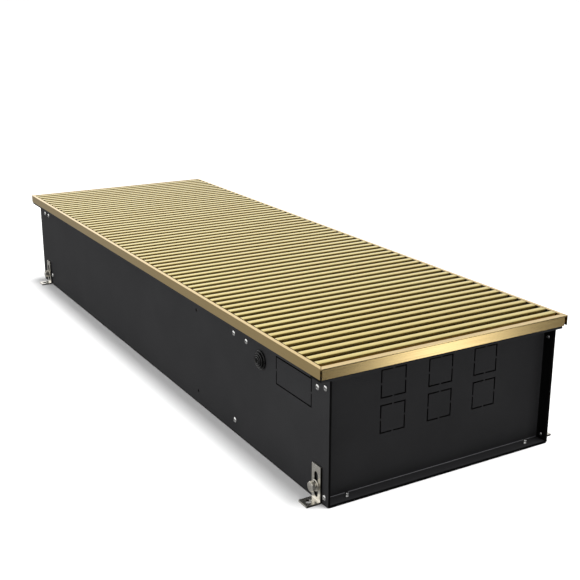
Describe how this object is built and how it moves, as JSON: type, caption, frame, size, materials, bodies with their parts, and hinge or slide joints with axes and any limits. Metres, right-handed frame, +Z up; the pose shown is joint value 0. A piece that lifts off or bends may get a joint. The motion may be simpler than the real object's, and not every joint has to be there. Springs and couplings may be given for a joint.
{
  "type": "trench convector heater",
  "caption": "Long black steel trough with a roll-up slatted grille in a brass-coloured frame, corner fixing brackets, pipe knock-outs, and an exchanger and fan inside.",
  "frame": {"origin": "under the middle of the casing, on the plane of its underside and bracket feet", "axes": "+X along the casing to the pipe end with the knock-outs, -Y to the side with the cable grommet, +Z up"},
  "size_m": [0.938, 0.3274, 0.15],
  "materials": {
    "black_powder_coat": "fine matt powder coat",
    "brass_anodised": "satin brass-coloured anodising",
    "rivet_aluminium": "bright",
    "stainless_steel": "warm satin",
    "black_rubber": "matt",
    "fin_aluminium": "black lacquered fins",
    "copper": "drawn tube",
    "zinc_steel": "zinc plated",
    "brass_fitting": "machined",
    "dark_plastic": "fine texture"
  },
  "bodies": {
    "casing": {"trough": "black_powder_coat", "end_plate_near": "black_powder_coat", "end_plate_far": "black_powder_coat", "partition": "black_powder_coat", "rivet_front_near_low": "rivet_aluminium", "rivet_back_near_low": "rivet_aluminium", "rivet_front_near_high": "rivet_aluminium", "rivet_back_near_high": "rivet_aluminium", "rivet_front_box_near": "rivet_aluminium", "rivet_front_box_far": "rivet_aluminium", "rivet_front_partition_low": "rivet_aluminium", "rivet_back_partition_low": "rivet_aluminium", "rivet_front_partition_high": "rivet_aluminium", "rivet_back_partition_high": "rivet_aluminium", "rivet_front_far_low": "rivet_aluminium", "rivet_back_far_low": "rivet_aluminium", "rivet_front_far_high": "rivet_aluminium", "rivet_back_far_high": "rivet_aluminium", "rivet_front_far_corner": "rivet_aluminium", "rivet_floor_near_front": "rivet_aluminium", "rivet_floor_near_back": "rivet_aluminium", "rivet_floor_far_front": "rivet_aluminium", "rivet_floor_far_back": "rivet_aluminium", "frame_front": "brass_anodised", "frame_near": "brass_anodised", "frame_back": "brass_anodised", "frame_far": "brass_anodised", "damping_strip_front": "black_rubber", "damping_strip_back": "black_rubber", "cable_grommet": "black_rubber", "bracket_bolt_near_front": "stainless_steel", "bracket_bolt_near_back": "stainless_steel", "bracket_bolt_far_front": "stainless_steel", "bracket_bolt_far_back": "stainless_steel", "bracket_nut_near_front": "stainless_steel", "bracket_nut_near_back": "stainless_steel", "bracket_nut_far_front": "stainless_steel", "bracket_nut_far_back": "stainless_steel", "fin_pack": "fin_aluminium", "exchanger_tube": "copper", "exchanger_stand_near": "zinc_steel", "exchanger_stand_far": "zinc_steel", "fan_housing": "zinc_steel", "fan_motor": "zinc_steel", "connection_supply": "brass_fitting", "connection_return": "brass_fitting", "air_vent_body": "brass_fitting", "fan_bearing": "dark_plastic", "terminal_box": "dark_plastic", "terminal_lid": "dark_plastic", "terminal_block": "dark_plastic"},
    "grille": {"roll_up_grille": "brass_anodised"},
    "fan": {"fan_rotor": "dark_plastic"},
    "bleed": {"bleed_screw": "brass_fitting"},
    "bracket_near_front": {"bracket_near_front": "stainless_steel"},
    "bracket_near_back": {"bracket_near_back": "stainless_steel"},
    "bracket_far_front": {"bracket_far_front": "stainless_steel"},
    "bracket_far_back": {"bracket_far_back": "stainless_steel"}
  },
  "joints": [
    {"name": "grille_lift", "type": "slide", "parent": "casing", "child": "grille", "axis": [0, 0, 1], "range_m": [0, 0.06]},
    {"name": "fan_spin", "type": "hinge", "parent": "casing", "child": "fan", "pos_m": [0, -0.088, 0.068], "axis": [1, 0, 0], "continuous": true},
    {"name": "bleed_screw_turn", "type": "hinge", "parent": "casing", "child": "bleed", "pos_m": [0.306, 0.06, 0.132], "axis": [0, 0, 1], "range_deg": [0, 360]},
    {"name": "bracket_near_front_slide", "type": "slide", "parent": "casing", "child": "bracket_near_front", "axis": [0, 0, 1], "range_m": [-0.0115, 0.009]},
    {"name": "bracket_near_back_slide", "type": "slide", "parent": "casing", "child": "bracket_near_back", "axis": [0, 0, 1], "range_m": [-0.0115, 0.009]},
    {"name": "bracket_far_front_slide", "type": "slide", "parent": "casing", "child": "bracket_far_front", "axis": [0, 0, 1], "range_m": [-0.0115, 0.009]},
    {"name": "bracket_far_back_slide", "type": "slide", "parent": "casing", "child": "bracket_far_back", "axis": [0, 0, 1], "range_m": [-0.0115, 0.009]}
  ]
}
